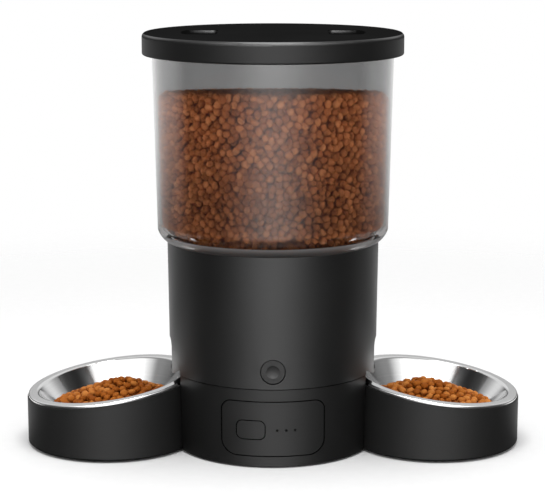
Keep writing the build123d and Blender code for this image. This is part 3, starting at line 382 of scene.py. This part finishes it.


# one tree scatters kibble over a surface and keeps under it a dark core, painted shade in the gaps between
# pieces
def kibbleTree(form):
    tree = bpy.data.node_groups.new("kibbleLayer", "GeometryNodeTree")
    sizes = {"Spacing": 0.005, "Radius": 0.0036, "Spread": 0.1, "Tumble": 3.14, "Sink": 0.0,
             "Shade core depth": 0.003}
    tree.interface.new_socket("Surface", in_out="INPUT", socket_type="NodeSocketGeometry")
    for label, value in sizes.items():
        tree.interface.new_socket(label, in_out="INPUT", socket_type="NodeSocketFloat").default_value = value
    tree.interface.new_socket("Seed", in_out="INPUT", socket_type="NodeSocketInt")
    tree.interface.new_socket("Skin", in_out="INPUT", socket_type="NodeSocketMaterial")
    tree.interface.new_socket("Kibble", in_out="OUTPUT", socket_type="NodeSocketGeometry")
    wire = Wire(tree)
    labels = ("Surface", *sizes, "Seed", "Skin")
    given = {label: wire.node("NodeGroupInput", output=label) for label in labels}

    def randomValue(low, high, seed, kind="FLOAT"):
        first = {"FLOAT": 2, "INT": 4}[kind]
        return wire.node("FunctionNodeRandomValue", {"data_type": kind},
                         {first: low, first + 1: high, "Seed": given["Seed"] + seed}, first // 2)

    def sunk(depth):
        inward = wire.node("ShaderNodeVectorMath", {"operation": "SCALE"}, {0: facing, "Scale": 0 - depth})
        return wire.node("GeometryNodeSetPosition", inputs={"Geometry": given["Surface"], "Offset": inward})

    facing = wire.node("GeometryNodeInputNormal")
    upward = axisOf(wire, facing, "Z")
    outside = wire.node("FunctionNodeCompare", {"operation": "GREATER_THAN"},
                        {0: upward, 1: form["underside"]})
    points = wire.node("GeometryNodeDistributePointsOnFaces", {"distribute_method": "POISSON"},
                       {"Mesh": sunk(given["Sink"]), "Selection": outside, "Distance Min": given["Spacing"],
                        "Density Max": form["density"], "Seed": given["Seed"]})
    points = wire.node("GeometryNodeStoreNamedAttribute", {"data_type": "FLOAT", "domain": "POINT"},
                       {"Geometry": points, "Name": "bake", "Value": randomValue(*form["bake"], 1)})
    shapes = []
    for variant in range(form["variants"]):
        ball = wire.node("GeometryNodeMeshUVSphere",
                         inputs={"Radius": 1.0, "Segments": form["segments"], "Rings": form["rings"]})
        place = wire.node("GeometryNodeInputPosition")
        lump = wire.node("ShaderNodeTexNoise", {"noise_dimensions": "4D"},
                         {"Vector": place, "W": form["lumpStep"] * variant, "Scale": form["lumpScale"],
                          "Detail": 1.0})
        vary = form["vary"] * variant
        squat = wire.node("ShaderNodeVectorMath", {"operation": "MULTIPLY"},
                          {0: place, 1: (1.0, form["width"] - vary, form["height"] + vary)})
        formed = wire.node("ShaderNodeVectorMath", {"operation": "SCALE"},
                           {0: squat, "Scale": form["least"] + lump * form["lump"]})
        shapes.append(wire.node("GeometryNodeSetPosition", inputs={"Geometry": ball, "Position": formed}))
    shapes = wire.node("GeometryNodeGeometryToInstance", inputs={"Geometry": shapes})
    size = given["Radius"] * (1 + given["Spread"] * randomValue(-1.0, 1.0, 2))
    picked = randomValue(0, form["variants"] - 1, 3, "INT")
    tilts = [given["Tumble"] * randomValue(-1.0, 1.0, seed) for seed in (4, 5)]
    tilts.append(randomValue(0.0, form["turn"], 6))
    turned = wire.node("ShaderNodeCombineXYZ", inputs=dict(enumerate(tilts)))
    pieces = wire.node("GeometryNodeInstanceOnPoints", inputs={
        "Points": points, "Instance": shapes, "Pick Instance": True, "Instance Index": picked,
        "Rotation": turned, "Scale": size})
    pieces = wire.node("GeometryNodeRealizeInstances", inputs={"Geometry": pieces})
    # the core carries no bake value, so it takes the darkest kibble colour: painted shade between pieces
    both = wire.node("GeometryNodeJoinGeometry", inputs={"Geometry": [sunk(given["Shade core depth"]), pieces]})
    both = wire.node("GeometryNodeSetShadeSmooth", inputs={"Geometry": both})
    both = wire.node("GeometryNodeSetMaterial", inputs={"Geometry": both, "Material": given["Skin"]})
    wire.node("NodeGroupOutput", inputs={"Kibble": both})
    return tree


kibbleLayer = kibbleTree(kibbleForm)


def pourKibble(name, surface, body, values):
    source = bpy.data.objects.new(name + "Surface", surface)
    scene.collection.objects.link(source)
    modifier = source.modifiers.new("kibbleLayer", "NODES")
    modifier.node_group = kibbleLayer
    for item in kibbleLayer.interface.items_tree:
        if item.in_out == "INPUT" and item.name in values:
            modifier[item.identifier] = values[item.name]
    graph = bpy.context.evaluated_depsgraph_get()
    mesh = bpy.data.meshes.new_from_object(source.evaluated_get(graph), preserve_all_data_layers=True,
                                           depsgraph=graph)
    bpy.data.objects.remove(source)
    mesh.name = name
    piece = bpy.data.objects.new(name, mesh)
    scene.collection.objects.link(piece)
    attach(piece, body)
    print(name, len(mesh.polygons), "faces")


def meshOf(name, corners, faces):
    made = bpy.data.meshes.new(name)
    made.from_pydata(corners, [], faces)
    made.update()
    return made


def finer(profile, longest):
    made = [profile[0]]
    for start, end in zip(profile, profile[1:]):
        count = math.ceil(math.dist(start, end) / longest)
        for part in range(1, count + 1):
            made.append(tuple(a + (b - a) * part / count for a, b in zip(start, end)))
    return made


def revolvedMesh(name, profile, steps):
    # profile runs from the axis at the bottom to the axis at the top
    corners = [(0, 0, profile[0][1])]
    for radius, height in profile[1:-1]:
        for step in range(steps):
            turn = 2 * math.pi * step / steps
            corners.append((radius * math.cos(turn), radius * math.sin(turn), height))
    corners.append((0, 0, profile[-1][1]))
    faces = []
    for step in range(steps):
        after = (step + 1) % steps
        faces.append((0, 1 + after, 1 + step))
        for ring in range(len(profile) - 3):
            low = 1 + ring * steps
            faces.append((low + step, low + after, low + steps + after, low + steps + step))
        last = 1 + (len(profile) - 3) * steps
        faces.append((last + step, last + after, len(corners) - 1))
    return meshOf(name, corners, faces)


# kibble in the hopper: middles of the pieces next to the wall, floor and top; the top lies lower at the back
hopperFill = {"profile": [(0, 0.1812), (0.0795, 0.1812), (0.0841, 0.1836), (0.0843, 0.1914),
                          (0.0862, 0.1950), (0.0924, 0.1990), (0.0959, 0.2046), (0.0982, 0.3105),
                          (0.0955, 0.3141), (0.060, 0.3146), (0, 0.3146)],
              "steps": 150, "longest": 0.004, "lean": 0.075, "leanAbove": 0.30, "leanOver": 0.008,
              "layers": (("hopperKibble", 0.0, 7), ("hopperKibbleInner", 0.0042, 8)),
              "pour": {"Spacing": 0.0052, "Radius": 0.0043, "Spread": 0.08, "Shade core depth": 0.0035,
                       "Skin": storedSkin}}
fillProfile = finer(hopperFill["profile"], hopperFill["longest"])
fillMesh = revolvedMesh("hopperFill", fillProfile, hopperFill["steps"])
for corner in fillMesh.vertices:
    rise = min(max((corner.co.z - hopperFill["leanAbove"]) / hopperFill["leanOver"], 0), 1)
    corner.co.z -= hopperFill["lean"] * corner.co.y * rise
for layerName, layerSink, layerSeed in hopperFill["layers"]:
    pourKibble(layerName, fillMesh, "hopper", {**hopperFill["pour"], "Sink": layerSink, "Seed": layerSeed})

# kibble in the bowls: a loose heap, level on its own, that ends at the bowl's sloping wall
heapLook = {"apex": (0.0106, -0.005, 0.0565), "slope": 0.42, "round": 0.008, "floorRadius": 0.046,
            "floorLevel": -0.0301, "wallSlope": 0.655, "farthest": 0.13, "halvings": 24, "rings": 10,
            "spokes": 40, "layers": (("Kibble", 0.0, 0.0053, 0), ("KibbleInner", 0.0048, 0.0068, 1)),
            "pour": {"Spacing": 0.0062, "Radius": 0.0039, "Spread": 0.10, "Tumble": 0.6, "Shade core depth": 0.0080,
                     "Skin": bowlSkin}}


def heapMesh(side, clear):
    x, y, z = bowlLook["centre"]
    toBowl = Matrix.Translation(Vector((side * x, y, z))) @ Matrix.Rotation(bowlLook["lean"], 4, "X")
    fromBowl = (toBowl @ Matrix.Rotation(side * bowlLook["tilt"], 4, "Y")).inverted()
    inward, back, top = heapLook["apex"]
    apex = Vector((side * (x - inward), back, top))

    def heapPoint(turn, away):
        drop = heapLook["slope"] * (math.hypot(away, heapLook["round"]) - heapLook["round"])
        return apex + Vector((away * math.cos(turn), away * math.sin(turn), -drop))

    def room(point):
        inBowl = fromBowl @ point
        wall = heapLook["floorRadius"] + (inBowl.z - heapLook["floorLevel"]) * heapLook["wallSlope"]
        return wall - clear - math.hypot(inBowl.x, inBowl.y)

    spokes = heapLook["spokes"]
    rings = heapLook["rings"]
    reaches = []
    for spoke in range(spokes):
        turn = 2 * math.pi * spoke / spokes
        low, high = 0.0, heapLook["farthest"]
        for halving in range(heapLook["halvings"]):
            middle = (low + high) / 2
            low, high = (middle, high) if room(heapPoint(turn, middle)) > 0 else (low, middle)
        reaches.append((turn, low))
    corners = [apex]
    for ring in range(1, rings + 1):
        corners += [heapPoint(turn, reach * ring / rings) for turn, reach in reaches]
    faces = []
    for spoke in range(spokes):
        after = (spoke + 1) % spokes
        faces.append((0, 1 + spoke, 1 + after))
        for ring in range(rings - 1):
            low = 1 + ring * spokes
            faces.append((low + spoke, low + spokes + spoke, low + spokes + after, low + after))
    return meshOf("heap", corners, faces)


for heapName, heapSide, heapSeed in (("left_bowl", -1, 21), ("right_bowl", 1, 34)):
    for layerName, layerSink, layerClear, seedStep in heapLook["layers"]:
        pourKibble(heapName + layerName, heapMesh(heapSide, layerClear), heapName,
                   {**heapLook["pour"], "Sink": layerSink, "Seed": heapSeed + seedStep})

# floor: pale, fading out into white; reflections show its far half and a patch behind each bowl
floorLook = {"radius": 1.3, "level": -0.0002, "sides": 72, "fade": (0.55, 1.15), "dark": grey(0.90),
             "light": grey(0.94), "grain": 0.01, "far": (0.5, 1.05), "mirror": 1.1, "mirrorLeft": 0.45,
             "bowlAside": 0.146, "bowlFar": (-0.2, 0.45), "bowlFade": (0.20, 0.34), "bowlMirror": 1.2}


def paleFloor(look):
    made, wire = newMaterial("paleFloor")
    place = objectPlace(wire)
    away = wire.node("ShaderNodeVectorMath", {"operation": "LENGTH"}, {0: place}, "Value")
    across = axisOf(wire, place, "X")
    back = axisOf(wire, place, "Y")
    shown = back.over(away).smooth(*look["far"]) * (look["mirror"] - across.over(away) * look["mirrorLeft"])
    reach = flatLength(across.size() - look["bowlAside"], back, tiny)
    beside = back.over(reach).smooth(*look["bowlFar"]) * (1 - reach.smooth(*look["bowlFade"]))
    unseen = (1 - shown.larger(beside * look["bowlMirror"])).larger(0.0)
    colour = mixColour(wire, noise(wire, place, look["grain"]), look["dark"], look["light"])
    near = wire.node("ShaderNodeBsdfDiffuse", inputs={"Color": colour})
    clear = wire.node("ShaderNodeBsdfTransparent")
    glossy = wire.node("ShaderNodeLightPath", output="Is Glossy Ray")
    hidden = (glossy * unseen).larger(away.smooth(*look["fade"]))
    surface = wire.node("ShaderNodeMixShader", inputs={0: hidden, 1: near, 2: clear})
    wire.node("ShaderNodeOutputMaterial", inputs={"Surface": surface})
    return made


def floorCorner(step):
    turn = 2 * math.pi * step / floorLook["sides"]
    return (floorLook["radius"] * math.cos(turn), floorLook["radius"] * math.sin(turn), floorLook["level"])


floorSteps = tuple(range(floorLook["sides"]))
floorMesh = meshOf("floor", [floorCorner(step) for step in floorSteps], [floorSteps])
floor = bpy.data.objects.new("floor", floorMesh)
floor.data.materials.append(paleFloor(floorLook))
scene.collection.objects.link(floor)

# studio: white surroundings; reflections see a tall front window with a bright bar across it, a pale tent
# overhead that is dimmer at its sides, and pale walls low at the back. A pair is where a light begins or ends,
# and inside is the light that falls through clear plastic
studioLook = {"ambient": 0.74, "inside": 5.4, "dark": 0.07,
              "front": 1.9, "narrow": 7.0, "frontFoot": (-0.75, -0.35), "frontHead": (0.70, 0.90),
              "high": 0.3, "highFrom": (-0.20, -0.05),
              "key": 20.0, "keyNarrow": 4.0, "keyFoot": (0.25, 0.40), "keyHead": (0.50, 0.65),
              "tent": 0.85, "tentFoot": (0.10, 0.38), "dip": 0.70, "dipAside": (0.70, 0.98),
              "dipBehind": (-0.30, 0.0),
              "walls": 1.1, "wallsLeft": 0.2, "wallsBehind": (-0.05, 0.35), "wallsFoot": (-0.24, -0.10),
              "wallsHead": (-0.085, -0.06)}


def studioWorld(look):
    world = bpy.data.worlds.new("studio")
    scene.world = world
    world.use_nodes = True
    world.node_tree.nodes.clear()
    wire = Wire(world.node_tree)
    x, y, z = axesOf(wire, wire.node("ShaderNodeTexCoord", output="Generated"))
    flat = flatLength(x, y, tiny)
    behind = y.over(flat)
    ahead = (0 - behind).larger(0.0)

    def between(foot, head):
        return z.smooth(*look[foot]) * (1 - z.smooth(*look[head]))

    level = between("frontFoot", "frontHead") * (1 + z.smooth(*look["highFrom"]) * look["high"])
    front = ahead ** look["narrow"] * level * look["front"]
    key = between("keyFoot", "keyHead") * ahead ** look["keyNarrow"] * look["key"]
    dip = x.size().over(flat).smooth(*look["dipAside"]) * behind.smooth(*look["dipBehind"]) * look["dip"]
    tent = z.smooth(*look["tentFoot"]) * look["tent"] * (1 - dip)
    walls = behind.smooth(*look["wallsBehind"]) * between("wallsFoot", "wallsHead")
    walls = walls * (look["walls"] - x.over(flat) * look["wallsLeft"])
    studio = front + look["dark"] + key + tent + walls

    def lightPath(output):
        return wire.node("ShaderNodeLightPath", output=output)

    through = lightPath("Is Transmission Ray")
    lit = lightPath("Diffuse Depth").smooth(0.0, 1.0)
    mirrored = lightPath("Glossy Depth").smooth(0.0, 1.0) * (1 - lit)
    glossy = mirrored.larger(lightPath("Is Glossy Ray") * (1 - through))
    seen = lightPath("Is Camera Ray").larger(through * (1 - lit) * (1 - mirrored))
    lamps = (1 - seen) * (1 - glossy) * (look["ambient"] + through * (look["inside"] - look["ambient"]))
    light = wire.node("ShaderNodeBackground",
                      inputs={"Color": grey(1.0), "Strength": seen + glossy * studio + lamps})
    wire.node("ShaderNodeOutputWorld", inputs={"Surface": light})


studioWorld(studioLook)

softboxLook = {"place": (0.0, -0.35, 1.75), "aim": (0.0, 0.0, 0.2), "size": 0.9, "power": 17.0}
lamp = bpy.data.lights.new("overheadSoftbox", "AREA")
lamp.shape = "SQUARE"
lamp.size = softboxLook["size"]
lamp.energy = softboxLook["power"]
softbox = bpy.data.objects.new("overheadSoftbox", lamp)
softbox.location = softboxLook["place"]
softbox.rotation_euler = (Vector(softboxLook["aim"]) - softbox.location).to_track_quat("-Z", "Y").to_euler()
scene.collection.objects.link(softbox)

# camera at the photograph's place
cameraLook = {"place": (-0.0004, -1.6323, 0.4847), "down": 0.1874, "lens": 122.5, "sensor": 36.0}
camera = bpy.data.cameras.new("camera")
camera.lens = cameraLook["lens"]
camera.sensor_width = cameraLook["sensor"]
cameraObject = bpy.data.objects.new("camera", camera)
cameraObject.location = cameraLook["place"]
cameraObject.rotation_euler = (math.pi / 2 - cameraLook["down"], 0, 0)
scene.collection.objects.link(cameraObject)
scene.camera = cameraObject
print("stage, light and camera set")
